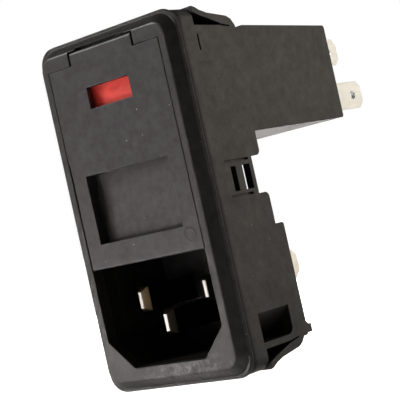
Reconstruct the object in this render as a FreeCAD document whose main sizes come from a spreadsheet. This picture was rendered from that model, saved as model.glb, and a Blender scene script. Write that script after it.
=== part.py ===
import FreeCAD, Part
import math
import os
import re
import Sketcher

# Snap-in power entry module: a C14 inlet with a two-fuse holder and a voltage selector behind
# one hinged cover. Millimetres. +X is to the right seen from the front, +Z is up, and the front
# faces -Y. The origin is the centre of the panel cut-out, in the plane of the panel's front
# face, which the back of the flange's lip meets.

SIZES = {
    # flange: a thin lip on the panel and a raised face with a sloped edge all round
    "flange_corner": 3.2,
    "lip_thick": 0.7,
    "lip_edge": 0.15,
    "lip_beside": 0.15,
    "lip_above": 0.55,
    "face_stand": 2.2,
    "face_tall": 53.6,
    "face_corner": 2.2,
    "face_edge": 0.55,
    "bevel_wide": 1.35,
    # collar: fills the panel cut-out
    "collar_inset": 0.1,
    "collar_corner": 2.0,
    "collar_deep": 5.25,
    # body behind the collar, seen from the side
    "side_wall": 1.4,
    "top_step": 2.7,
    "base_step": 3.1,
    "block_deep": 39.8,
    "block_draft": 1.65,
    "block_tall": 16.2,
    "block_edge": 0.5,
    "step_deep": 14.4,
    "step_edge": 0.9,
    "notch_deep": 12.0,
    "notch_above": 3.1,
    "notch_below": 2.9,
    "inlet_roof": 1.25,
    "inlet_deep": 16.5,
    "wall": 1.3,
    # snap arms above and below: depths along the arm, and how far each point lies below the
    # level of the collar's edge
    "arm_root": 15.3,
    "arm_shoulder": 14.5,
    "arm_shoulder_drop": 2.25,
    "arm_knee": 13.5,
    "arm_knee_drop": 1.75,
    "arm_crotch": 12.9,
    "arm_slot_run": 1.0,
    "arm_slot": 0.25,
    "arm_bend": 8.9,
    "arm_bend_drop": 1.1,
    "arm_ramp": 7.2,
    "arm_ramp_drop": 0.6,
    "arm_tip": 5.5,
    "arm_rise": 0.15,
    "arm_nose": 0.25,
    "arm_thick": 0.9,
    "arm_thick_mid": 1.2,
    "arm_corner": 0.4,
    # relief behind the upper arm, and the rib along the rear edge below
    "relief_rear": 17.0,
    "relief_drop": 0.25,
    "rib_long": 1.2,
    "rib_thick": 1.3,
    "rib_foot": 0.6,
    "rib_inset": 0.3,
    # side panels: a springy leaf with two slots, measured from the level between the fuses
    "leaf_front": 5.2,
    "leaf_above": 3.05,
    "leaf_below": 2.8,
    "slot_above": 2.0,
    "slot_below": 1.9,
    "slot_one": 6.35,
    "slot_one_wide": 1.2,
    "slot_two": 9.23,
    "slot_two_wide": 1.87,
    "groove_wide": 0.35,
    "groove_deep": 0.45,
    "leaf_gap": 1.2,
    "rib_wall": 0.8,
    # small slit high on each side
    "slit_front": 5.4,
    "slit_wide": 0.3,
    "slit_drop": 1.65,
    "slit_tall": 2.55,
    # window beside the inlet's chamfer
    "side_window_front": 5.05,
    "side_window_rear": 12.85,
    "side_window_sill": 1.0,
    "side_window_corner": 1.3,
    "chamfer_wall": 0.85,
    # C14 recess and its blades
    "recess_wide": 24.4,
    "recess_tall": 16.5,
    "recess_margin": 2.0,
    "recess_chamfer": 4.7,
    "recess_corner": 0.5,
    "recess_deep": 16.9,
    "blade_pitch": 14.0,
    "blade_drop": 6.2,
    "earth_drop": 4.0,
    "blade_wide": 4.0,
    "blade_thick": 2.0,
    "blade_tip": 1.97,
    "earth_lead": 2.77,
    "tip_long": 1.2,
    "tip_flat": 0.6,
    "tab_wide": 4.8,
    "tab_thick": 0.8,
    "tab_corner": 1.1,
    "tab_hole": 1.5,
    "tab_hole_from_tip": 2.8,
    "blade_tab_long": 9.6,
    # cover and its hinge along the lower edge
    "cover_band": 2.4,
    "cover_thick": 1.1,
    "cover_gap": 0.15,
    "cover_relief": 0.2,
    "relief_tall": 17.5,
    "cover_seat": 0.05,
    "tab_half": 6.8,
    "tab_slot": 0.4,
    "hinge_inset": 1.25,
    "cover_edge": 0.35,
    "pivot_r": 0.8,
    "pivot_gap": 0.05,
    "pivot_skin": 0.3,
    "pivot_end": 0.1,
    "hinge_clear": 1.9,
    "pry_half": 5.5,
    "pry_tall": 0.3,
    "small_window_wide": 9.3,
    "small_window_tall": 3.45,
    "small_window_drop": 5.68,
    "big_window_wide": 18.0,
    "big_window_tall": 11.2,
    "big_window_rise": 9.53,
    "big_window_deep": 2.0,
    "window_rim": 1.2,
    # fuse carrier, two 5 x 20 fuses and their contacts
    "fuse_rise": 9.4,
    "fuse_pitch": 11.0,
    "fuse_back": 4.9,
    "fuse_long": 20.0,
    "fuse_gap": 0.2,
    "cap_r": 2.6,
    "cap_long": 5.0,
    "glass_r": 2.3,
    "glass_wall": 0.4,
    "wire_r": 0.15,
    "carrier_gap": 1.1,
    "carrier_thick": 1.2,
    "carrier_below": 1.2,
    "carrier_above": 2.6,
    "saddle_half": 2.75,
    "saddle_thick": 1.6,
    "saddle_gap": 0.1,
    "saddle_out": 3.2,
    "saddle_deep": 5.6,
    "cap_skin": 0.3,
    "contact_room": 2.0,
    "contact_gap": 0.08,
    "contact_thick": 0.35,
    "contact_wide": 3.4,
    "contact_front": 2.2,
    "contact_leg_end": 8.6,
    "lug_wide": 2.4,
    "lug_long": 1.8,
    # compartments
    "cell_below": 3.0,
    "cell_deep": 10.5,
    "pocket_deep": 12.9,
    "pocket_half": 1.9,
    "shelf_drop": 7.72,
    "shelf_thick": 1.0,
    "shelf_front": 1.5,
    "shelf_rear": 11.5,
    "block_floor": 1.2,
    # selector drum
    "drum_r": 5.4,
    "drum_flat": 5.1,
    "drum_gap": 0.15,
    "drum_band": 11.2,
    "hub_r": 4.4,
    "hub_step": 1.0,
    "ring_thick": 0.8,
    "ring_wide": 4.6,
    "tunnel_gap": 0.4,
    "key_half": 1.6,
    "key_drop": 0.2,
    "key_gap": 0.2,
    "journal_r": 1.4,
    "journal_gap": 0.1,
    "journal_long": 1.0,
    "spring_gap": 0.1,
    "spring_thick": 0.3,
    "spring_wide": 6.0,
    "spring_grip": 0.4,
    # rear terminals, with their levels measured from the selector's axis
    "low_tab_out": 10.6,
    "low_tab_drop": 6.82,
    "high_tab_out": 7.4,
    "high_tab_rise": 1.68,
    "tab_end": 50.7,
    "strip_wide": 2.4,
    "nose_gap": 0.2,
    "nose_drop": 2.22,
    "nose_tall": 2.0,
    "bend_run": 4.6,
    "plate_thick": 1.7,
    "plate_inset": 0.2,
    "plate_ledge": 0.4,
    "plate_gap": 0.1,
}

# Places that follow from the sizes, written as formulas of the sheet's cells. Those that lie
# below the centre (the recess, the body's base, the lower fuse) are given as positive drops.
PLACES = {
    # across
    "side": "(recess_wide / 2 + side_wall)",
    "flange_half": "(side + bevel_wide + lip_beside)",
    "cover_half": "(recess_wide / 2 - cover_gap / 3)",
    "cell_half": "(fuse_long / 2 + contact_room)",
    "cell_neck": "(fuse_long / 2 + fuse_gap)",
    "carrier_half": "(cell_half - carrier_gap)",
    "hub_half": "(drum_band / 2 + hub_step + ring_wide)",
    "ring_inner": "(drum_band / 2 + hub_step)",
    "tunnel_half": "(hub_half + tunnel_gap)",
    "plate_half": "(tunnel_half + plate_ledge)",
    # levels of the flange and the body
    "face_up": "(face_tall / 2)",
    "flange_up": "(face_up + bevel_wide + lip_above)",
    "collar_up": "(flange_up - collar_inset)",
    "body_top": "(collar_up - top_step)",
    "body_base": "(collar_up - base_step)",
    "block_rear_top": "(body_top - block_draft)",
    "block_base": "(block_rear_top - block_tall)",
    "block_inside": "(block_base + block_floor)",
    "top_slope": "((body_top - block_rear_top) / block_deep)",
    "rib_base": "(body_base - rib_inset)",
    # levels of the inlet
    "recess_base": "(face_up - recess_margin)",
    "recess_top": "(recess_base - recess_tall)",
    "blade_level": "(recess_top + blade_drop)",
    "inlet_top": "(recess_top - inlet_roof)",
    "side_window_base": "(body_base - side_window_sill)",
    # levels of the cover, the fuses and the side leaves
    "cover_top": "(face_up - cover_band)",
    "hinge_z": "(-recess_top + hinge_inset)",
    "relief_top": "(relief_tall - recess_top)",
    "big_window_level": "(big_window_rise - recess_top)",
    "fuse_mid": "(fuse_rise - recess_top)",
    "fuse_low": "(fuse_pitch / 2 - fuse_mid)",
    "fuse_high": "(fuse_pitch / 2 + fuse_mid)",
    "cell_base": "(fuse_low + cell_below)",
    "leaf_top": "(fuse_mid + leaf_above)",
    "leaf_base": "(leaf_below - fuse_mid)",
    # levels of the selector and the terminals
    "small_window_level": "(cover_top - small_window_drop)",
    "shelf_base": "(small_window_level - shelf_drop)",
    "shelf_top": "(shelf_base + shelf_thick)",
    "nose_level": "(small_window_level - nose_drop)",
    "high_tab_level": "(small_window_level + high_tab_rise)",
    "low_tab_level": "(small_window_level - low_tab_drop)",
    "plate_low": "(block_inside - plate_ledge)",
    "plate_high": "(block_rear_top - wall + plate_ledge)",
    # depths
    "front": "(-face_stand)",
    "floor": "(recess_deep - face_stand)",
    "cover_back": "(front + cover_thick)",
    "seat": "(cover_back + cover_seat)",
    "carrier_front": "(front + big_window_deep)",
    "hinge_y": "(front + hinge_inset)",
    "drum_y": "(cover_back + drum_gap + drum_r)",
    "spring_front": "(drum_y + drum_flat + spring_gap)",
    "nose": "(drum_y + hub_r + nose_gap)",
    "plate_rear": "(block_deep - plate_inset)",
    "plate_front": "(plate_rear - plate_thick)",
}

# The blades, each with its place across, its level and its front end, and the fuses' ends.
BLADES = {
    "left_blade": ("-blade_pitch / 2", "-blade_level", "blade_tip"),
    "right_blade": ("blade_pitch / 2", "-blade_level", "blade_tip"),
    "earth_blade": ("0", "-(blade_level + earth_drop)", "blade_tip - earth_lead"),
}
FUSES = {"lower": "-fuse_low", "upper": "fuse_high"}
FUSE_ENDS = [(name, side) for name in FUSES for side in ("left", "right")]

V = FreeCAD.Vector
doc = FreeCAD.newDocument("power_entry_module")
sheet = doc.addObject("Spreadsheet::Sheet", "dims")
for row, (name, size) in enumerate(SIZES.items(), 1):
    sheet.set("A%d" % row, name)
    sheet.set("B%d" % row, str(size))
    sheet.setAlias("B%d" % row, name)
doc.recompute()


def formula(text):
    """Write a formula of size and place names as an expression of the sheet's cells."""
    def cell(match):
        name = match.group()
        if name in PLACES:
            return formula(PLACES[name])
        return "dims." + name if name in SIZES else name
    return re.sub(r"[a-z_]+", cell, text)


def piece(label, y="0", z="0"):
    """Start a sub-part whose own origin lies at the given height and depth."""
    body = doc.addObject("PartDesign::Body", label)
    body.Label = label
    body.setExpression(".Placement.Base.y", formula(y))
    body.setExpression(".Placement.Base.z", formula(z))
    return body


def plane_sketch(body, role, level, *drawings):
    """A sketch on the body's origin plane, moved along +X, +Y or +Z to the level."""
    sketch = body.newObject("Sketcher::SketchObject", "sketch")
    sketch.AttachmentSupport = [(plane, "") for plane in body.Origin.OriginFeatures if plane.Role == role]
    sketch.MapMode = "FlatFace"
    sign = "-" if role == "XZ_Plane" else ""
    sketch.setExpression(".AttachmentOffset.Base.z", "%s(%s)" % (sign, formula(level)))
    for draw in drawings:
        draw(sketch)
    sketch.Visibility = False
    return sketch


def tie(sketch, constraint, text):
    """Add a dimension to the sketch and bind it to the sheet."""
    index = sketch.addConstraint(constraint)
    sketch.setExpression("Constraints[%d]" % index, formula(text))


def tie_point(sketch, geometry, point, across, up):
    tie(sketch, Sketcher.Constraint("DistanceX", -1, 1, geometry, point, 1.0), across)
    tie(sketch, Sketcher.Constraint("DistanceY", -1, 1, geometry, point, 1.0), up)


def outline(*corners):
    """A closed outline of straight lines, with every corner tied to the sheet."""
    def draw(sketch):
        count = len(corners)
        first = sketch.GeometryCount
        turns = [2 * math.pi * i / count for i in range(count)]
        ring = [V(math.cos(turn), math.sin(turn), 0) for turn in turns]
        sides = [Part.LineSegment(ring[i], ring[(i + 1) % count]) for i in range(count)]
        sketch.addGeometry(sides, False)
        for i, (across, up) in enumerate(corners):
            sketch.addConstraint(Sketcher.Constraint("Coincident", first + i, 2, first + (i + 1) % count, 1))
            tie_point(sketch, first + i, 1, across, up)
    return draw


def circle(across, up, radius):
    """A circle whose centre and radius are tied to the sheet."""
    def draw(sketch):
        index = sketch.addGeometry(Part.Circle(V(1, 1, 0), V(0, 0, 1), 1.0), False)
        tie_point(sketch, index, 3, across, up)
        tie(sketch, Sketcher.Constraint("Radius", index, 1.0), radius)
    return draw


def rounded_box(half_wide, half_tall, radius):
    """A centred box with four arcs for corners."""
    def draw(sketch):
        first = sketch.GeometryCount
        quadrants = [(1, 1), (-1, 1), (-1, -1), (1, -1)]
        arcs = []
        for i, (across, up) in enumerate(quadrants):
            corner = Part.Circle(V(across, up, 0), V(0, 0, 1), 0.5)
            arcs.append(Part.ArcOfCircle(corner, i * math.pi / 2, (i + 1) * math.pi / 2))
        sides = [Part.LineSegment(arcs[i].EndPoint, arcs[(i + 1) % 4].StartPoint) for i in range(4)]
        sketch.addGeometry(arcs + sides, False)
        for i, (across, up) in enumerate(quadrants):
            sketch.addConstraint(Sketcher.Constraint("Tangent", first + i, 2, first + 4 + i, 1))
            sketch.addConstraint(Sketcher.Constraint("Tangent", first + 4 + i, 2, first + (i + 1) % 4, 1))
            tie_point(sketch, first + i, 3, "%d * (%s - %s)" % (across, half_wide, radius),
                      "%d * (%s - %s)" % (up, half_tall, radius))
            tie(sketch, Sketcher.Constraint("Radius", first + i, 0.5), radius)
    return draw


def box(left, right, low, high):
    return outline((left, low), (right, low), (right, high), (left, high))


def even_box(half_wide, low, high):
    return box("-(%s)" % half_wide, half_wide, low, high)


def extrude(body, kind, role, start, end, *drawings):
    """Pad or pocket the drawings from one level to another along the plane's own axis."""
    sketch = plane_sketch(body, role, start, *drawings)
    feature = body.newObject("PartDesign::" + kind, kind.lower())
    feature.Profile = sketch
    feature.Refine = False
    feature.setExpression("Length", formula("(%s) - (%s)" % (end, start)))
    # a pad follows the sketch's normal and a pocket goes against it; XZ's normal is -Y
    feature.Reversed = (role == "XZ_Plane") == (kind == "Pad")
    doc.recompute()
    return feature


def pad(body, role, start, end, *drawings):
    return extrude(body, "Pad", role, start, end, *drawings)


def pocket(body, role, start, end, *drawings):
    before = body.Shape.Volume
    feature = extrude(body, "Pocket", role, start, end, *drawings)
    if not body.Shape.Volume < before:
        raise RuntimeError("a pocket of %s cut nothing" % body.Label)
    return feature


def both_sides(inner, outer):
    """The same span of X on the right and on the left."""
    return {"right": (inner, outer), "left": ("-(%s)" % outer, "-(%s)" % inner)}


def loft(body, role, start, first, end, last):
    """A straight-sided loft from one drawing to another."""
    feature = body.newObject("PartDesign::AdditiveLoft", "loft")
    feature.Profile = plane_sketch(body, role, start, first)
    feature.Sections = [plane_sketch(body, role, end, last)]
    feature.Ruled = True
    body.Tip = feature
    doc.recompute()
    return feature


def corner_edges(body, sketch, *corners):
    """The body's straight edges that stand on the numbered corners of a sketch's outline."""
    normal = sketch.Placement.Rotation.multVec(V(0, 0, 1))
    spots = [sketch.Placement.multVec(sketch.Geometry[i].StartPoint) for i in corners]
    names = []
    for i, edge in enumerate(body.Tip.Shape.Edges, 1):
        straight = edge.Curve.TypeId == "Part::GeomLine" and edge.Curve.Direction.cross(normal).Length < 1e-6
        if straight and any((spot - edge.firstVertex().Point).cross(normal).Length < 1e-4 for spot in spots):
            names.append("Edge%d" % i)
    return names


def edges_within(body, low, high):
    """The body's edges that lie wholly between two corners of a box."""
    reach = FreeCAD.BoundBox(*low, *high)
    reach.enlarge(1e-4)
    return ["Edge%d" % i for i, edge in enumerate(body.Tip.Shape.Edges, 1) if reach.isInside(edge.BoundBox)]


def dress(body, kind, edges, **sizes):
    """Fillet or chamfer the named edges of the body's latest feature."""
    base = body.Tip
    feature = body.newObject("PartDesign::" + kind, kind.lower())
    feature.Base = (base, edges)
    for size, text in sizes.items():
        feature.setExpression(size, formula(text))
    doc.recompute()
    return feature


def fillet(body, edges, radius):
    return dress(body, "Fillet", edges, Radius=radius)


def value(text):
    """The present value of a formula."""
    return float(sheet.evalExpression(formula(text)))


def make_housing():
    """The one black moulding: flange, collar, snap arms, inlet recess and compartments."""
    body = piece("housing")
    make_shell(body)
    make_flange(body)
    make_inlet(body)
    make_compartments(body)
    make_side_details(body)
    return body


def top_at(depth):
    return "(body_top - top_slope * %s)" % depth


def snap_arm(sign, surface):
    """The side outline of one snap arm, which leans forward and outward from its root."""
    def point(depth, drop):
        return (depth, "%d * (collar_up - %s)" % (sign, drop))
    buried = "%d * (%s - arm_thick / 2)" % (sign, surface)
    return outline(
        ("arm_root", buried), ("arm_root", "%d * %s" % (sign, surface)),
        point("arm_shoulder", "arm_shoulder_drop"), point("arm_knee", "arm_knee_drop"),
        point("arm_bend", "arm_bend_drop"), point("arm_ramp", "arm_ramp_drop"),
        point("arm_tip + arm_nose", "(-arm_rise)"), point("arm_tip", "(arm_nose - arm_rise)"),
        point("arm_tip", "arm_thick"), point("arm_ramp", "(arm_ramp_drop + arm_thick)"),
        point("(arm_bend + arm_crotch) / 2", "((arm_bend_drop + arm_knee_drop) / 2 + arm_thick_mid)"),
        ("arm_crotch", "%d * %s" % (sign, surface)), ("arm_crotch", buried))


def arm_slot(sign, surface):
    """The narrow slot that the gap under a snap arm ends in."""
    def point(depth, lift):
        return (depth, "%d * (%s + %s)" % (sign, surface, lift))
    return outline(
        point("arm_crotch - arm_slot_run", "arm_slot"), point("arm_crotch + arm_slot_run", "(-arm_slot / 4)"),
        point("arm_crotch + arm_slot_run", "(-arm_slot)"),
        point("arm_crotch - arm_slot_run", "(-arm_slot / 4)"))


def make_shell(body):
    """The body behind the flange, with its stepped rear, and the two snap arms."""
    notch_top, notch_base = "fuse_mid + notch_above", "fuse_mid - notch_below"
    side = pad(body, "YZ_Plane", "-side", "side", outline(
        ("0", "body_top"), ("block_deep", "block_rear_top"), ("block_deep", "block_base"),
        ("step_deep", "block_base"), ("step_deep", notch_top), ("notch_deep", notch_top),
        ("notch_deep", notch_base), ("step_deep", notch_base), ("step_deep", "-inlet_top"),
        ("inlet_deep", "-inlet_top"), ("inlet_deep", "-body_base"), ("0", "-body_base")))
    sketch = side.Profile[0]
    fillet(body, corner_edges(body, sketch, 1, 2, 9, 10), "block_edge")
    fillet(body, corner_edges(body, sketch, 4, 7), "step_edge")
    pad(body, "YZ_Plane", "-side", "side", snap_arm(1, top_at("arm_root")), snap_arm(-1, "body_base"))
    # the arms' long edges are rounded, and the gap under each arm ends in a narrow slot
    pocket(body, "XZ_Plane", "collar_deep", "arm_shoulder",
           rounded_box("(2 * side)", "(2 * collar_up)", "collar_corner"),
           rounded_box("side", "(collar_up + arm_rise)", "arm_corner"))
    pocket(body, "YZ_Plane", "-side", "side", arm_slot(1, top_at("arm_crotch")), arm_slot(-1, "body_base"))
    pocket(body, "YZ_Plane", "-side", "side",
           box("arm_root", "relief_rear", top_at("relief_rear") + " - relief_drop", "body_top"))
    foot = "rib_thick + rib_foot - rib_base"
    pad(body, "YZ_Plane", "-side", "side", outline(
        ("inlet_deep - block_edge", "-rib_base"), ("inlet_deep + rib_long", "-rib_base"),
        ("inlet_deep + rib_long", "rib_thick - rib_base"), ("inlet_deep + rib_foot", "rib_thick - rib_base"),
        ("inlet_deep", foot), ("inlet_deep - block_edge", foot)))


def make_flange(body):
    """The collar in the cut-out, the lip on the panel and the raised face in front of it."""
    pad(body, "XZ_Plane", "0", "collar_deep", rounded_box("side", "collar_up", "collar_corner"))
    pad(body, "XZ_Plane", "-lip_edge", "0", rounded_box("flange_half", "flange_up", "flange_corner"))
    loft(body, "XZ_Plane", "-lip_thick", rounded_box(
        "(flange_half - lip_beside)", "(flange_up - lip_beside)", "(flange_corner - lip_beside)"),
         "-lip_edge", rounded_box("flange_half", "flange_up", "flange_corner"))
    loft(body, "XZ_Plane",
         "-lip_thick", rounded_box(
             "(side + bevel_wide)", "(face_up + bevel_wide)", "(face_corner + bevel_wide)"),
         "front", rounded_box("side", "face_up", "face_corner"))
    across, level, up = value("side"), value("front"), value("face_up")
    fillet(body, edges_within(body, (-across, level, -up), (across, level, up)), "face_edge")


def make_inlet(body):
    """The C14 recess with its two cut corners, and the holes that hold the blades."""
    recess = pocket(body, "XZ_Plane", "front", "floor", outline(
        ("-recess_wide / 2", "-recess_top"), ("-recess_wide / 2", "recess_chamfer - recess_base"),
        ("recess_chamfer - recess_wide / 2", "-recess_base"),
        ("recess_wide / 2 - recess_chamfer", "-recess_base"),
        ("recess_wide / 2", "recess_chamfer - recess_base"), ("recess_wide / 2", "-recess_top")))
    fillet(body, corner_edges(body, recess.Profile[0], 1, 2, 3, 4), "recess_corner")
    for across, level, tip in BLADES.values():
        pocket(body, "XZ_Plane", "floor", "inlet_deep",
               box("%s - blade_thick / 2" % across, "%s + blade_thick / 2" % across,
                   "%s - blade_wide / 2" % level, "%s + blade_wide / 2" % level))
    # the hollows beside the recess's cut corners, each open through a window in the side
    corner = "(recess_base - recess_chamfer + chamfer_wall * sqrt(2))"
    for sign in (1, -1):
        pocket(body, "XZ_Plane", "side_window_front", "side_window_rear", outline(
            ("%d * side" % sign, "-side_window_base"),
            ("%d * side" % sign, "side - recess_wide / 2 - " + corner),
            ("%d * (recess_wide / 2 + %s - side_window_base)" % (sign, corner), "-side_window_base")))
    across, rear, base = value("side"), value("side_window_rear"), -value("side_window_base")
    fillet(body, edges_within(body, (-across, rear, base), (across, rear, base)), "side_window_corner")


def make_compartments(body):
    """The openings behind the cover: its seat, the fuse cells and the selector's tunnel."""
    pocket(body, "XZ_Plane", "front", "seat", outline(
        ("-(cover_half + cover_gap)", "-(recess_top + cover_gap)"),
        ("cover_half + cover_gap", "-(recess_top + cover_gap)"),
        ("cover_half + cover_gap", "cover_top + cover_gap"), ("tab_half + tab_slot", "cover_top + cover_gap"),
        ("tab_half + tab_slot", "face_up"), ("-(tab_half + tab_slot)", "face_up"),
        ("-(tab_half + tab_slot)", "cover_top + cover_gap"),
        ("-(cover_half + cover_gap)", "cover_top + cover_gap")))
    pocket(body, "XZ_Plane", "front", "seat + cover_gap",
           even_box("pry_half", "cover_top", "face_up + pry_tall"))
    # room for the cover's barrel to turn in, and the blind holes of its pivots
    pocket(body, "XZ_Plane", "seat", "hinge_y + hinge_clear",
           even_box("(cover_half + cover_gap)", "-(recess_top + cover_gap)", "hinge_z + hinge_clear"))
    pocket(body, "YZ_Plane", "-(side - pivot_skin)", "side - pivot_skin",
           circle("hinge_y", "hinge_z", "(pivot_r + pivot_gap)"))
    # fuse cells: wide in front of the side leaves, narrow between them, deep at the contacts
    pocket(body, "XZ_Plane", "seat", "leaf_front - rib_wall",
           even_box("cell_half", "-cell_base", "shelf_base"))
    pocket(body, "XZ_Plane", "seat", "cell_deep", even_box("cell_neck", "-cell_base", "shelf_base"))
    for low, high in (("-cell_base", "pocket_half - fuse_low"),
                      ("fuse_high - pocket_half", "fuse_high + pocket_half")):
        pocket(body, "XZ_Plane", "seat", "pocket_deep", even_box("cell_half", low, high))
    for name, side in FUSE_ENDS:
        pocket(body, "XZ_Plane", "pocket_deep", "step_deep",
               box(*both_sides("(cell_half - contact_thick)", "cell_half")[side],
                   FUSES[name] + " - lug_wide / 2", FUSES[name] + " + lug_wide / 2"))
    # the selector's tunnel, open at both ends, with the shelf above the fuses left standing
    pocket(body, "YZ_Plane", "-tunnel_half", "tunnel_half", outline(
        ("seat", "shelf_top"), ("shelf_rear", "shelf_top"), ("shelf_rear", "block_inside"),
        ("plate_front", "block_inside"), ("plate_front", top_at("plate_front") + " - wall"),
        ("seat", top_at("seat") + " - wall")))
    pocket(body, "XZ_Plane", "seat", "shelf_front", even_box("tunnel_half", "shelf_base", "shelf_top"))
    pocket(body, "XZ_Plane", "plate_front", "block_deep", even_box(
        "(plate_half + plate_gap)", "plate_low - plate_gap", "plate_high"))
    # bearings of the selector, each with a slot to press its journal in from the front
    bearing = "(journal_r + journal_gap)"
    reach = "(hub_half + journal_long + journal_gap / 2)"
    pocket(body, "YZ_Plane", "-" + reach, reach, circle("drum_y", "small_window_level", bearing))
    pocket(body, "YZ_Plane", "-" + reach, reach, box(
        "seat", "drum_y", "small_window_level - journal_r + journal_gap",
        "small_window_level + journal_r - journal_gap"))
    # grooves that hold the ends of the detent leaf
    pocket(body, "YZ_Plane", "-spring_wide / 2", "spring_wide / 2",
           box("spring_front", "spring_front + spring_thick", "shelf_top - spring_grip",
               top_at("spring_front") + " - wall + spring_grip"))


def make_side_details(body):
    """The springy leaf on each side with its slots and grooves, and the small slit above."""
    for start, end in both_sides("side - leaf_gap - wall", "side - wall").values():
        pocket(body, "XZ_Plane", "leaf_front", "notch_deep", box(start, end, "-leaf_base", "leaf_top"))
    for start, end in both_sides("side - wall", "side").values():
        pocket(body, "YZ_Plane", start, end,
               *[box(slot, "%s + %s_wide" % (slot, slot), "fuse_mid - slot_below", "fuse_mid + slot_above")
                 for slot in ("slot_one", "slot_two")])
    for start, end in both_sides("side - groove_deep", "side").values():
        pocket(body, "YZ_Plane", start, end,
               box("leaf_front", "slot_two + slot_two_wide", "leaf_top - groove_wide", "leaf_top"),
               box("leaf_front", "slot_two + slot_two_wide - groove_deep",
                   "-leaf_base", "groove_wide - leaf_base"))
        pocket(body, "YZ_Plane", start, end,
               box("slit_front", "slit_front + slit_wide",
                   "body_top - slit_drop - slit_tall", "body_top - slit_drop"))


def make_blade(label, across, level, tip):
    """One solid brass pin of the inlet with its flat connector tab behind the floor."""
    body = piece(label, "0", level)
    body.setExpression(".Placement.Base.x", formula(across))
    pad(body, "XZ_Plane", "%s + tip_long" % tip, "inlet_deep",
        even_box("blade_thick / 2", "-blade_wide / 2", "blade_wide / 2"))
    loft(body, "XZ_Plane",
         "%s + tip_long" % tip, even_box("blade_thick / 2", "-blade_wide / 2", "blade_wide / 2"),
         tip, even_box("tip_flat / 2", "-(blade_wide - blade_thick + tip_flat) / 2",
                       "(blade_wide - blade_thick + tip_flat) / 2"))
    end = "(inlet_deep + blade_tab_long)"
    pad(body, "YZ_Plane", "-tab_thick / 2", "tab_thick / 2", outline(
        ("inlet_deep", "-tab_wide / 2"), (end + " - tab_corner", "-tab_wide / 2"),
        (end, "tab_corner - tab_wide / 2"), (end, "tab_wide / 2 - tab_corner"),
        (end + " - tab_corner", "tab_wide / 2"), ("inlet_deep", "tab_wide / 2")))
    pocket(body, "YZ_Plane", "-tab_thick / 2", "tab_thick / 2",
           circle(end + " - tab_hole_from_tip", "0", "tab_hole / 2"))
    return body


def make_cover():
    """The hinged cover: a plate with two windows, a barrel and pivots along its lower edge."""
    body = piece("cover")
    half, low_half = "cover_half", "(cover_half - cover_relief)"
    pad(body, "XZ_Plane", "front", "cover_back", outline(
        ("-" + low_half, "-recess_top"), (half, "-recess_top"),
        (half, "cover_top"), ("tab_half", "cover_top"),
        ("tab_half", "face_up - cover_gap"), ("-tab_half", "face_up - cover_gap"), ("-tab_half", "cover_top"),
        ("-" + half, "cover_top"), ("-" + half, "relief_top"), ("-" + low_half, "relief_top")))
    pad(body, "YZ_Plane", "-" + low_half, low_half, circle("hinge_y", "hinge_z", "hinge_inset"))
    across, level, low, up = value(half), value("front"), -value("recess_top"), value("face_up - cover_gap")
    fillet(body, edges_within(body, (-across, level, low), (across, level, low)), "cover_edge")
    fillet(body, edges_within(body, (-across, level, up), (across, level, up)), "face_edge")
    pivot = "(side - pivot_skin - pivot_end)"
    pad(body, "YZ_Plane", "-" + pivot, pivot, circle("hinge_y", "hinge_z", "pivot_r"))
    window = ("big_window_level - big_window_tall / 2", "big_window_level + big_window_tall / 2")
    pad(body, "XZ_Plane", "cover_back", "carrier_front", even_box(
        "(big_window_wide / 2 + window_rim)", window[0] + " - window_rim", window[1] + " + window_rim"))
    pocket(body, "XZ_Plane", "front", "carrier_front", even_box("big_window_wide / 2", *window))
    pocket(body, "XZ_Plane", "front", "cover_back", even_box(
        "small_window_wide / 2", "small_window_level - small_window_tall / 2",
        "small_window_level + small_window_tall / 2"))
    return body


def make_carrier():
    """The tray behind the large window, with two saddles that grip each fuse's glass."""
    body = piece("fuse_carrier")
    back = "(carrier_front + carrier_thick)"
    pad(body, "XZ_Plane", "carrier_front", back, even_box(
        "carrier_half", "-(fuse_low + carrier_below)", "fuse_high + carrier_above"))
    saddles = both_sides("(saddle_out - saddle_thick / 2)", "(saddle_out + saddle_thick / 2)")
    for start, end in saddles.values():
        pad(body, "YZ_Plane", start, end, *[
            box(back, "saddle_deep", level + " - saddle_half", level + " + saddle_half")
            for level in FUSES.values()])
    pocket(body, "YZ_Plane", "-(saddle_out + saddle_thick)", "saddle_out + saddle_thick", *[
        circle("fuse_back", level, "(glass_r + saddle_gap)") for level in FUSES.values()])
    return body


def make_fuse(name, level):
    """One glass cartridge fuse: a tube, two end caps and the wire between them."""
    def part(label):
        return piece(name + "_fuse_" + label, "fuse_back", level)
    inside = "(fuse_long / 2 - cap_skin)"
    glass = part("glass")
    pad(glass, "YZ_Plane", "-" + inside, inside,
        circle("0", "0", "glass_r"), circle("0", "0", "(glass_r - glass_wall)"))
    wire = part("wire")
    pad(wire, "YZ_Plane", "-" + inside, inside, circle("0", "0", "wire_r"))
    for side in ("left", "right"):
        cap = part("cap_" + side)
        pad(cap, "YZ_Plane", *both_sides("(fuse_long / 2 - cap_long)", "(fuse_long / 2)")[side],
            circle("0", "0", "cap_r"))
        pocket(cap, "YZ_Plane", *both_sides("(fuse_long / 2 - cap_long)", inside)[side],
               circle("0", "0", "glass_r"))


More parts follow.
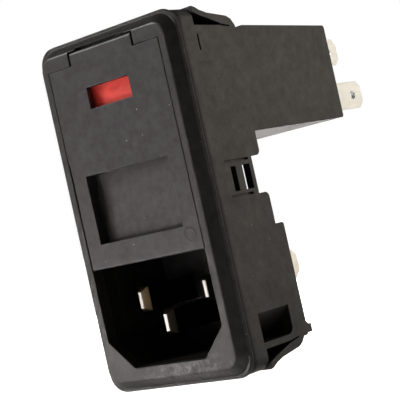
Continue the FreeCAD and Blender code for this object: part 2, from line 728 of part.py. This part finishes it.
def make_contact(label, side, level):
    """One U-shaped spring strip that presses on a fuse's end, with a lug through the rear wall."""
    body = piece(label, "0", level)
    outer, inner, leg = "cell_half", "(fuse_long / 2 + contact_gap)", "(cell_half - contact_thick)"
    bend = "((%s - %s) / 2)" % (outer, inner)
    turn = "(contact_front + %s)" % bend
    centre = ("-" if side == "left" else "") + "((%s + %s) / 2)" % (outer, inner)
    wide = ("-contact_wide / 2", "contact_wide / 2")

    def leaf(left, right, start, end):
        return box(*both_sides(left, right)[side], start, end)
    pad(body, "XY_Plane", *wide, circle(centre, turn, bend),
        circle(centre, turn, "(%s - contact_thick)" % bend))
    pocket(body, "XY_Plane", *wide, leaf(inner, outer, turn, "%s + 2 * %s" % (turn, bend)))
    pad(body, "XY_Plane", *wide, leaf(leg, outer, turn, "pocket_deep"))
    pad(body, "XY_Plane", *wide, leaf(inner, "(%s + contact_thick)" % inner, turn, "contact_leg_end"))
    pad(body, "XY_Plane", "-lug_wide / 2", "lug_wide / 2",
        leaf(leg, outer, "pocket_deep", "step_deep + lug_long"))
    return body


def make_drum():
    """The red selector: a wide band with four flats between two hubs, turning on two journals."""
    body = piece("selector_drum", "drum_y", "small_window_level")
    band = "(drum_band / 2)"
    pad(body, "YZ_Plane", "-hub_half", "hub_half", circle("0", "0", "(hub_r - ring_thick)"))
    for start, end in both_sides(band, "ring_inner").values():
        pad(body, "YZ_Plane", start, end, circle("0", "0", "hub_r"))
    pad(body, "YZ_Plane", "-" + band, band, circle("0", "0", "drum_r"))
    pocket(body, "YZ_Plane", "-" + band, band,
           even_box("2 * drum_r", "-2 * drum_r", "2 * drum_r"),
           even_box("drum_flat", "-drum_flat", "drum_flat"))
    # keys that fill the gaps of the contact rings, in front
    for start, end in both_sides("ring_inner", "hub_half").values():
        pad(body, "YZ_Plane", start, end, box("-hub_r + key_drop", "0", "-key_half", "key_half"))
    journal = "(hub_half + journal_long)"
    pad(body, "YZ_Plane", "-" + journal, journal, circle("0", "0", "journal_r"))
    return body


def make_bridge(label, start, end):
    """A brass C-ring that lies flush in one hub of the selector, open at the key."""
    body = piece(label, "drum_y", "small_window_level")
    pad(body, "YZ_Plane", start, end, circle("0", "0", "hub_r"), circle("0", "0", "(hub_r - ring_thick)"))
    pocket(body, "YZ_Plane", start, end,
           box("-2 * hub_r", "0", "-(key_half + key_gap)", "key_half + key_gap"))
    return body


def make_strip(label, across, level, *nose):
    """One terminal: a nose beside the selector, a run to the plate and a tab behind it."""
    body = piece(label)
    body.setExpression(".Placement.Base.x", formula(across))
    run, half = "strip_wide / 2", "tab_wide / 2"
    pad(body, "YZ_Plane", "-tab_thick / 2", "tab_thick / 2", outline(
        *nose, ("plate_rear", "%s - %s" % (level, run)), ("plate_rear", "%s - %s" % (level, half)),
        ("tab_end - tab_corner", "%s - %s" % (level, half)),
        ("tab_end", "%s - %s + tab_corner" % (level, half)),
        ("tab_end", "%s + %s - tab_corner" % (level, half)),
        ("tab_end - tab_corner", "%s + %s" % (level, half)),
        ("plate_rear", "%s + %s" % (level, half)), ("plate_rear", "%s + %s" % (level, run))))
    pocket(body, "YZ_Plane", "-tab_thick / 2", "tab_thick / 2",
           circle("tab_end - tab_hole_from_tip", level, "tab_hole / 2"))
    return body


def make_terminals():
    """Two straight strips above and two below them that bend up to reach the selector."""
    for side, sign in (("left", "-"), ("right", "")):
        make_strip("upper_tab_" + side, sign + "high_tab_out", "high_tab_level",
                   ("nose", "high_tab_level + strip_wide / 2"), ("nose", "high_tab_level - strip_wide / 2"))
        make_strip("lower_tab_" + side, sign + "low_tab_out", "low_tab_level",
                   ("nose + bend_run", "low_tab_level + strip_wide / 2"),
                   ("nose", "nose_level + nose_tall / 2"),
                   ("nose", "nose_level - nose_tall / 2"),
                   ("nose + bend_run", "low_tab_level - strip_wide / 2"))


def make_plate():
    """The insulating plate that closes the block's rear, with a slot for each terminal."""
    body = piece("terminal_plate")
    pad(body, "XZ_Plane", "plate_front", "plate_rear",
        even_box("plate_half", "plate_low", "plate_high - plate_gap"))
    for out, level in (("high_tab_out", "high_tab_level"), ("low_tab_out", "low_tab_level")):
        for start, end in both_sides(out + " - tab_thick / 2", out + " + tab_thick / 2").values():
            pocket(body, "XZ_Plane", "plate_front", "plate_rear",
                   box(start, end, level + " - strip_wide / 2", level + " + strip_wide / 2"))
    return body


def make_spring():
    """The leaf behind the selector, held in a groove at each end."""
    body = piece("detent_spring")
    pad(body, "YZ_Plane", "-spring_wide / 2", "spring_wide / 2",
        box("spring_front", "spring_front + spring_thick", "shelf_top - spring_grip",
            top_at("spring_front") + " - wall + spring_grip"))
    return body


make_housing()
for label, (across, level, tip) in BLADES.items():
    make_blade(label, across, level, tip)
make_cover()
make_carrier()
for name, level in FUSES.items():
    make_fuse(name, level)
for name, side in FUSE_ENDS:
    make_contact("%s_contact_%s" % (name, side), side, FUSES[name])
make_drum()
for side, (start, end) in both_sides("ring_inner", "hub_half").items():
    make_bridge("selector_bridge_" + side, start, end)
make_terminals()
make_plate()
make_spring()
doc.recompute()

broken = [item.Label for item in doc.Objects if "Invalid" in item.State or "Error" in item.State]
pieces = [item for item in doc.Objects if item.TypeId == "PartDesign::Body"]
broken += [item.Label for item in pieces if item.Shape.isNull() or not item.Shape.isValid()]
if broken:
    raise RuntimeError("these failed to build: " + ", ".join(broken))
os.makedirs("parts", exist_ok=True)
for item in pieces:
    item.Shape.exportStep("parts/%s.step" % item.Label)
    print(item.Label, len(item.Shape.Solids), round(item.Shape.Volume, 2))
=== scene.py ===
from math import radians
import bpy
from mathutils import Matrix, Vector

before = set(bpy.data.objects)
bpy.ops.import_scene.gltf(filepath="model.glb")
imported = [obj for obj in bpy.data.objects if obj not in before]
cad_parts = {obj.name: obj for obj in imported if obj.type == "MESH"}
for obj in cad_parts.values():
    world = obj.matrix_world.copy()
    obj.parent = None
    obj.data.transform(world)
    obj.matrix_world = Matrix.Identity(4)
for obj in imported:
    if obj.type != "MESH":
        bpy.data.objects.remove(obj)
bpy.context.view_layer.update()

# Studio: a pale floor well below the module, which hangs free as it does in a panel, white all
# round, and a camera level with the module, turned a little about its own axis so that the
# module's top leans left.

MM = 0.001
scene = bpy.context.scene
scene.view_settings.view_transform = "Standard"

camera_data = bpy.data.cameras.new("studio_camera")
camera_data.lens = 126.0
camera_data.sensor_width = 36.0
camera_data.clip_start = 0.01
camera = bpy.data.objects.new("studio_camera", camera_data)
scene.collection.objects.link(camera)
camera_place = Vector((149.557, -161.99, -3.616)) * MM
right = Vector((0.7410458, 0.63505021, -0.21808795)).normalized()
back = Vector((0.64852153, -0.76109205, -0.01259819)).normalized()
up = back.cross(right).normalized()
turn = Matrix((right, up, back)).transposed()
camera.matrix_world = Matrix.Translation(camera_place) @ turn.to_4x4()
scene.camera = camera

# The camera sees the world as white; everything else gets a faint warm light from it.
world = bpy.data.worlds.new("studio_world")
scene.world = world
world.use_nodes = True
tree = world.node_tree
tree.nodes.clear()
out = tree.nodes.new("ShaderNodeOutputWorld")
soft = tree.nodes.new("ShaderNodeBackground")
soft.inputs["Color"].default_value = (1.0, 0.98, 0.95, 1.0)
soft.inputs["Strength"].default_value = 0.09
white = tree.nodes.new("ShaderNodeBackground")
white.inputs["Color"].default_value = (1.0, 1.0, 1.0, 1.0)
white.inputs["Strength"].default_value = 1.0
seen = tree.nodes.new("ShaderNodeLightPath")
choose = tree.nodes.new("ShaderNodeMixShader")
tree.links.new(seen.outputs["Is Camera Ray"], choose.inputs["Fac"])
tree.links.new(soft.outputs["Background"], choose.inputs[1])
tree.links.new(white.outputs["Background"], choose.inputs[2])
tree.links.new(choose.outputs["Shader"], out.inputs["Surface"])


def lamp(name, place, size, watts, colour, aim=(0, 15, 0), spread=180):
    """A soft box turned towards a point; places and sizes are in millimetres, spread in degrees."""
    data = bpy.data.lights.new(name, "AREA")
    data.shape = "RECTANGLE"
    data.size, data.size_y = size[0] * MM, size[1] * MM
    data.energy = watts
    data.color = colour
    data.spread = radians(spread)
    obj = bpy.data.objects.new(name, data)
    scene.collection.objects.link(obj)
    obj.visible_camera = False
    place, aim = Vector(place) * MM, Vector(aim) * MM
    turn = (place - aim).to_track_quat("Z", "Y").to_matrix().to_4x4()
    obj.matrix_world = Matrix.Translation(place) @ turn


# The side box lights the module's right side and the tabs. The back box brightens the undersides
# of the arms. The edge box, high on the left, gives the colours their level and draws a light
# line along the flange's upper edge. The floor box lights a round of floor in front, which then
# lights the lower part of the face. The front and top boxes add only a little. The camera's own
# side stays dim, so the flange's slopes that face it are nearly black.
lamp("front_box", (-400, -460, 120), (420, 340), 0.08, (1.0, 0.91, 0.93))
lamp("floor_box", (-150, -175, 330), (160, 160), 1.34, (1.0, 0.93, 0.95),
     aim=(-150, -175, -50), spread=40)
lamp("side_box", (440, 520, 60), (420, 640), 1.25, (1.0, 0.91, 0.79))
lamp("back_box", (-430, 520, -20), (420, 420), 4.4, (1.0, 0.97, 0.93))
lamp("edge_box", (-364, -280, 320), (180, 180), 1.9, (1.0, 0.98, 0.96))
lamp("top_box", (240, 240, 520), (360, 360), 0.5, (1.0, 0.98, 0.96))


def levels(tree, value, start=0.0, end=1.0, low=0.0, high=1.0):
    """Go from low to high while a value goes from start to end, and hold there past both."""
    node = tree.nodes.new("ShaderNodeMapRange")
    node.inputs["From Min"].default_value = start
    node.inputs["From Max"].default_value = end
    node.inputs["To Min"].default_value = low
    node.inputs["To Max"].default_value = high
    tree.links.new(value, node.inputs["Value"])
    return node.outputs["Result"]


def reckon(tree, operation, *values):
    """Work out one step on values, each a node's output or a plain number."""
    node = tree.nodes.new("ShaderNodeMath")
    node.operation = operation
    for value, socket in zip(values, node.inputs):
        if isinstance(value, float):
            socket.default_value = value
        else:
            tree.links.new(value, socket)
    return node.outputs["Value"]


# The camera sees the floor glow, faintly below the module and white further out, so that the
# module's shadow stays.
FLOOR_DROP = 50 * MM
FLOOR_REACH = 3.0
floor_mesh = bpy.data.meshes.new("studio_floor")
floor_mesh.from_pydata([(x * FLOOR_REACH, y * FLOOR_REACH, -FLOOR_DROP)
                        for x, y in ((-1, -1), (1, -1), (1, 1), (-1, 1))], [], [(0, 1, 2, 3)])
floor = bpy.data.objects.new("studio_floor", floor_mesh)
scene.collection.objects.link(floor)
floor_paint = bpy.data.materials.new("studio_floor")
floor_paint.use_nodes = True
tree = floor_paint.node_tree
paint = tree.nodes["Principled BSDF"]
paint.inputs["Base Color"].default_value = (0.88, 0.88, 0.87, 1.0)
paint.inputs["Roughness"].default_value = 0.9
away = tree.nodes.new("ShaderNodeVectorMath")
away.operation = "LENGTH"
tree.links.new(tree.nodes.new("ShaderNodeTexCoord").outputs["Object"], away.inputs[0])
fade = levels(tree, away.outputs["Value"], start=60 * MM, end=300 * MM, low=0.3, high=1.1)
seen = tree.nodes.new("ShaderNodeLightPath")
glow = tree.nodes.new("ShaderNodeEmission")
tree.links.new(reckon(tree, "MULTIPLY", fade, seen.outputs["Is Camera Ray"]),
               glow.inputs["Strength"])
both = tree.nodes.new("ShaderNodeAddShader")
tree.links.new(paint.outputs["BSDF"], both.inputs[0])
tree.links.new(glow.outputs["Emission"], both.inputs[1])
tree.links.new(both.outputs["Shader"], tree.nodes["Material Output"].inputs["Surface"])
floor_mesh.materials.append(floor_paint)


# Housing: one black glass-filled moulding with the flange, the snap arms, the inlet's recess and
# the compartments. It comes from the mould with a fine even texture, a few pale specks of filler
# at the surface and an uneven shine, and the lower flange is rubbed pale in one place.

def mottle(tree, place, size, detail, rough=0.5, distortion=0.0):
    """Cloudy patches, the largest of them size millimetres across."""
    node = tree.nodes.new("ShaderNodeTexNoise")
    node.inputs["Scale"].default_value = 1 / (size * MM)
    node.inputs["Detail"].default_value = detail
    node.inputs["Roughness"].default_value = rough
    node.inputs["Distortion"].default_value = distortion
    tree.links.new(place, node.inputs["Vector"])
    return node.outputs["Fac"]


def tones(tree, value, stops):
    """A colour for each value, blended between stops, which are (value, colour) in rising order."""
    node = tree.nodes.new("ShaderNodeValToRGB")
    elements = node.color_ramp.elements
    (first, first_colour), *between, (last, last_colour) = stops
    elements[0].position, elements[0].color = first, list(first_colour) + [1.0]
    elements[1].position, elements[1].color = last, list(last_colour) + [1.0]
    for at, colour in between:
        elements.new(at).color = list(colour) + [1.0]
    tree.links.new(value, node.inputs["Fac"])
    return node.outputs["Color"]


def tinge(tree, base, colour, share):
    """Cover a share of the base colour with another."""
    node = tree.nodes.new("ShaderNodeMix")
    node.data_type = "RGBA"
    node.inputs["B"].default_value = list(colour) + [1.0]
    tree.links.new(share, node.inputs["Factor"])
    tree.links.new(base, node.inputs["A"])
    return node.outputs["Result"]


def round_edges(tree, radius):
    """Take the sharpness off every edge; radius is in millimetres."""
    node = tree.nodes.new("ShaderNodeBevel")
    node.samples = 6
    node.inputs["Radius"].default_value = radius * MM
    tree.links.new(node.outputs["Normal"], tree.nodes["Principled BSDF"].inputs["Normal"])


def add_relief(tree, height, depth, strength=1.0):
    """Lay one more fine relief over the material's own; depth is in millimetres."""
    normal = tree.nodes["Principled BSDF"].inputs["Normal"]
    under = normal.links[0].from_socket
    bump = tree.nodes.new("ShaderNodeBump")
    bump.inputs["Strength"].default_value = strength
    bump.inputs["Distance"].default_value = depth * MM
    tree.links.new(height, bump.inputs["Height"])
    tree.links.new(under, bump.inputs["Normal"])
    tree.links.new(bump.outputs["Normal"], normal)


def moulded_plastic(name, colour, rough=0.42, grain=0.16, depth=0.018, speck=0.4, worn=None,
                    painted_lip_shade=False):
    """Moulded plastic; grain and depth are in millimetres, and speck is how much the filler shows.
    Worn is the middle and the reach of a patch that is rubbed pale. When it is asked for, the shade
    that the flange's lip casts just behind it is painted in as a strip of weaker shine."""
    material = bpy.data.materials.new(name)
    material.use_nodes = True
    tree = material.node_tree
    add, link = tree.nodes.new, tree.links.new
    shader = tree.nodes["Principled BSDF"]
    place = add("ShaderNodeTexCoord").outputs["Object"]

    cloud = mottle(tree, place, size=5.0, detail=7.0, rough=0.78)
    darker, lighter = [c * 0.75 for c in colour], [min(1.0, c * 1.25) for c in colour]
    base = tones(tree, cloud, ((0.35, darker), (0.65, lighter)))

    # pale specks of filler and dust, up to a quarter of a millimetre across; the moulding is
    # divided into cells with one speck in each or none, and few specks lie at the surface
    cell = 1.7
    specks = add("ShaderNodeTexVoronoi")
    specks.inputs["Scale"].default_value = 1 / (cell * MM)
    link(place, specks.inputs["Vector"])
    near = levels(tree, specks.outputs["Distance"], start=0.03, end=0.075, low=speck, high=0.0)
    split = add("ShaderNodeSeparateColor")
    link(specks.outputs["Color"], split.inputs["Color"])
    share_without = 0.6
    few = reckon(tree, "GREATER_THAN", split.outputs["Red"], share_without)
    base = tinge(tree, base, (0.45, 0.44, 0.42), reckon(tree, "MULTIPLY", near, few))

    if worn:
        middle, reach = worn
        away = add("ShaderNodeVectorMath")
        away.operation = "SUBTRACT"
        away.inputs[1].default_value = [c * MM for c in middle]
        link(place, away.inputs[0])
        squeeze = add("ShaderNodeMapping")
        squeeze.inputs["Scale"].default_value = [1 / (c * MM) for c in reach]
        link(away.outputs["Vector"], squeeze.inputs["Vector"])
        ball = add("ShaderNodeTexGradient")
        ball.gradient_type = "SPHERICAL"
        link(squeeze.outputs["Vector"], ball.inputs["Vector"])
        scratch = mottle(tree, place, size=0.9, detail=8.0, rough=0.75, distortion=0.6)
        patchy = levels(tree, scratch, start=0.42, end=0.7)
        rubbed = reckon(tree, "MULTIPLY", ball.outputs["Fac"], patchy)
        base = tinge(tree, base, (0.3, 0.29, 0.28), rubbed)
    link(base, shader.inputs["Base Color"])
    link(levels(tree, cloud, start=0.3, end=0.7, low=rough - 0.05, high=rough + 0.06),
         shader.inputs["Roughness"])

    # the skin of the moulding shines a little unevenly
    skin = mottle(tree, place, size=1.6, detail=6.0, rough=0.7)
    shine = levels(tree, skin, start=0.3, end=0.7, low=0.36, high=0.64)
    # painted shade: the shade that the flange's lip casts just behind it, as a strip of weaker
    # shine
    if painted_lip_shade:
        strip_deep = 4.0
        split = add("ShaderNodeSeparateXYZ")
        link(place, split.inputs["Vector"])
        depth_in = levels(tree, split.outputs["Y"], end=strip_deep * MM)
        shares = ((0.0, 1.0), (0.01, 0.3), (0.5, 0.3), (0.68, 1.0))
        strip = tones(tree, depth_in, [(at, [share] * 3) for at, share in shares])
        shine = reckon(tree, "MULTIPLY", shine, strip)
    link(shine, shader.inputs["Specular IOR Level"])

    round_edges(tree, 0.12)
    add_relief(tree, mottle(tree, place, size=grain, detail=3.0), depth, strength=0.8)
    return material


def finish(node, material):
    """Give a carried-over piece its material."""
    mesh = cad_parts[node].data
    mesh.materials.clear()
    mesh.materials.append(material)


# the housing gets the flange lip's shade painted in as weaker shine just behind the lip
housing_black = moulded_plastic("housing_black", (0.0095, 0.0085, 0.0075),
                                worn=((3.5, -2.2, -26.2), (12.0, 3.0, 2.8)), painted_lip_shade=True)
finish("housing", housing_black)

# Cover: a thin black moulding that swings down on two pivots, with a window for the selector
# and a larger one for the fuse carrier behind it. Its face is a shade greyer than the housing,
# with the faint ring that a round pin of the mould leaves.

def pin_ring(material, centre, radius, width, depth):
    """The ring that a pin of the mould leaves round a point of the face, in millimetres."""
    tree = material.node_tree
    away = tree.nodes.new("ShaderNodeVectorMath")
    away.operation = "DISTANCE"
    away.inputs[1].default_value = [c * MM for c in centre]
    tree.links.new(tree.nodes.new("ShaderNodeTexCoord").outputs["Object"], away.inputs[0])
    past = reckon(tree, "SUBTRACT", away.outputs["Value"], radius * MM)
    off = reckon(tree, "ABSOLUTE", past)
    add_relief(tree, levels(tree, off, end=width / 2 * MM, low=1.0, high=0.0), depth)


cover_black = moulded_plastic("cover_black", (0.011, 0.0095, 0.0098), rough=0.43, speck=0.6)
pin_ring(cover_black, centre=(10.0, -2.2, -5.8), radius=1.0, width=0.5, depth=0.03)
finish("cover", cover_black)

# Fuse carrier: a black tray clipped behind the cover's large window; its face is left as the
# mould's cutter made it, with fine crossing lines.

def cutter_lines(material, pitch, slopes, depth):
    """Fine lines across the front, one set at each slope, in degrees; pitch and depth are in
    millimetres."""
    tree = material.node_tree
    place = tree.nodes.new("ShaderNodeTexCoord").outputs["Object"]
    pitch_at_scale_one = radians(18)
    for slope in slopes:
        turn = tree.nodes.new("ShaderNodeMapping")
        turn.inputs["Rotation"].default_value = (0.0, radians(slope), 0.0)
        tree.links.new(place, turn.inputs["Vector"])
        lines = tree.nodes.new("ShaderNodeTexWave")
        lines.wave_type = "BANDS"
        lines.bands_direction = "X"
        lines.inputs["Scale"].default_value = pitch_at_scale_one / (pitch * MM)
        lines.inputs["Distortion"].default_value = 1.5
        lines.inputs["Detail"].default_value = 3.0
        tree.links.new(turn.outputs["Vector"], lines.inputs["Vector"])
        add_relief(tree, lines.outputs["Fac"], depth)


carrier_black = moulded_plastic("carrier_black", (0.014, 0.0125, 0.0105), rough=0.5, grain=0.3,
                                depth=0.03)
cutter_lines(carrier_black, pitch=0.45, slopes=(35, -50), depth=0.006)
finish("fuse_carrier", carrier_black)

# Selector: a red moulded drum behind the cover's small window. It turns on two journals in the
# housing's bearings, and a brass C-ring in each hub joins the terminals' strips.

selector_red = moulded_plastic("selector_red", (0.9, 0.052, 0.036), rough=0.55, grain=0.3,
                               depth=0.05, speck=0.0)
finish("selector_drum", selector_red)


def strip_metal(name, colour, rough=0.3, along=(1, 1, 1), shade=0.15):
    """Plated or bare strip with fine rolling lines, drawn out where along is small, and soft
    stains that are darker by shade."""
    material = bpy.data.materials.new(name)
    material.use_nodes = True
    tree = material.node_tree
    add, link = tree.nodes.new, tree.links.new
    shader = tree.nodes["Principled BSDF"]
    shader.inputs["Metallic"].default_value = 1.0
    place = add("ShaderNodeTexCoord").outputs["Object"]
    stretch = add("ShaderNodeMapping")
    stretch.inputs["Scale"].default_value = along
    link(place, stretch.inputs["Vector"])
    lines = mottle(tree, stretch.outputs["Vector"], size=0.35, detail=4.0)
    stain = mottle(tree, place, size=2.5, detail=4.0)
    stained = [c * (1 - shade) for c in colour]
    link(tones(tree, stain, ((0.3, stained), (0.7, colour))), shader.inputs["Base Color"])
    link(levels(tree, lines, low=rough - 0.08, high=rough + 0.12), shader.inputs["Roughness"])
    round_edges(tree, 0.08)
    add_relief(tree, lines, depth=0.006, strength=0.4)
    return material


bridge_brass = strip_metal("bridge_brass", (0.78, 0.57, 0.25), rough=0.3)
finish("selector_bridge_left", bridge_brass)
finish("selector_bridge_right", bridge_brass)

# Inlet blades: three solid brass pins, plated and pressed through the inlet's floor, each with a
# flat connector tab behind the floor. Use has rubbed the left pin's taper down to the brass. The
# sides of all three are darkened down in the inlet as far as its floor: painted shade of the inlet.

def pressed_pin(name, tip, taper):
    """Plated pin by depth behind the flange, in millimetres, from its tip: a bright end, a taper
    of the colour given, the inlet's shade painted on the sides up to the floor, and a clean tab
    behind it."""
    # painted shade: the dark tone on the sides as far as the inlet's floor stands for the inlet's
    # shade
    clean, painted_recess_shade = (1.0, 1.0, 1.0), (0.06, 0.05, 0.04)
    recess_shade_end, tab_start, depth_end = 15.0, 16.6, 18.0
    material = strip_metal(name, (0.86, 0.83, 0.77), rough=0.32, along=(1, 0.08, 1), shade=0.12)
    tree = material.node_tree
    shader = tree.nodes["Principled BSDF"]
    plating = shader.inputs["Base Color"].links[0].from_socket
    split = tree.nodes.new("ShaderNodeSeparateXYZ")
    tree.links.new(tree.nodes.new("ShaderNodeTexCoord").outputs["Object"], split.inputs["Vector"])
    depth = levels(tree, split.outputs["Y"], start=tip * MM, end=depth_end * MM)
    stops = [(0.04, clean), (0.1, taper), (1.15, [c * 0.7 for c in taper]), (1.3, painted_recess_shade),
             (recess_shade_end - tip, painted_recess_shade), (tab_start - tip, clean)]
    span = depth_end - tip
    taper_and_recess_shade = tones(tree, depth, [(at / span, colour) for at, colour in stops] + [(1.0, clean)])
    both = tree.nodes.new("ShaderNodeMix")
    both.data_type = "RGBA"
    both.blend_type = "MULTIPLY"
    both.inputs["Factor"].default_value = 1.0
    tree.links.new(plating, both.inputs["A"])
    tree.links.new(taper_and_recess_shade, both.inputs["B"])
    tree.links.new(both.outputs["Result"], shader.inputs["Base Color"])
    return material


finish("left_blade", pressed_pin("left_blade_brass", tip=1.97, taper=(0.95, 0.72, 0.45)))
finish("right_blade", pressed_pin("right_blade_brass", tip=1.97, taper=(0.08, 0.07, 0.055)))
finish("earth_blade", pressed_pin("earth_blade_brass", tip=-0.8, taper=(0.085, 0.075, 0.06)))

# Terminals: four strips of tin-plated brass from the selector to the connector tabs behind the
# insulating plate, which is a plain black moulding pushed into the block's rear.

tab_tin = strip_metal("tab_tin", (0.9, 0.91, 0.88), rough=0.42, along=(1, 0.1, 1), shade=0.1)
for name in ("upper_tab_left", "upper_tab_right", "lower_tab_left", "lower_tab_right"):
    finish(name, tab_tin)
finish("terminal_plate", moulded_plastic("plate_black", (0.013, 0.012, 0.011), rough=0.5))

# Contact springs and detent leaf: a sprung contact at each end of both fuses and a leaf on the
# drum's flats, all bent from thin tinned spring strip and pressed into the housing.

spring_tin = strip_metal("spring_tin", (0.72, 0.7, 0.66), rough=0.3)
for side in ("left", "right"):
    finish("upper_contact_" + side, spring_tin)
    finish("lower_contact_" + side, spring_tin)
finish("detent_spring", spring_tin)

# Fuses: two cartridges, each a clear glass tube with nickel-plated brass caps crimped on its
# ends and a thin tinned wire through it.

cap_nickel = strip_metal("cap_nickel", (0.78, 0.76, 0.72), rough=0.18)
fuse_glass = bpy.data.materials.new("fuse_glass")
fuse_glass.use_nodes = True
tree = fuse_glass.node_tree
glass = tree.nodes["Principled BSDF"]
glass.inputs["Base Color"].default_value = (0.93, 0.97, 0.96, 1.0)
glass.inputs["IOR"].default_value = 1.47
glass.inputs["Transmission Weight"].default_value = 1.0
place = tree.nodes.new("ShaderNodeTexCoord").outputs["Object"]
haze = mottle(tree, place, size=1.5, detail=2.0)
tree.links.new(levels(tree, haze, low=0.02, high=0.08), glass.inputs["Roughness"])
for level in ("upper", "lower"):
    finish(level + "_fuse_glass", fuse_glass)
    finish(level + "_fuse_wire", spring_tin)
    finish(level + "_fuse_cap_left", cap_nickel)
    finish(level + "_fuse_cap_right", cap_nickel)
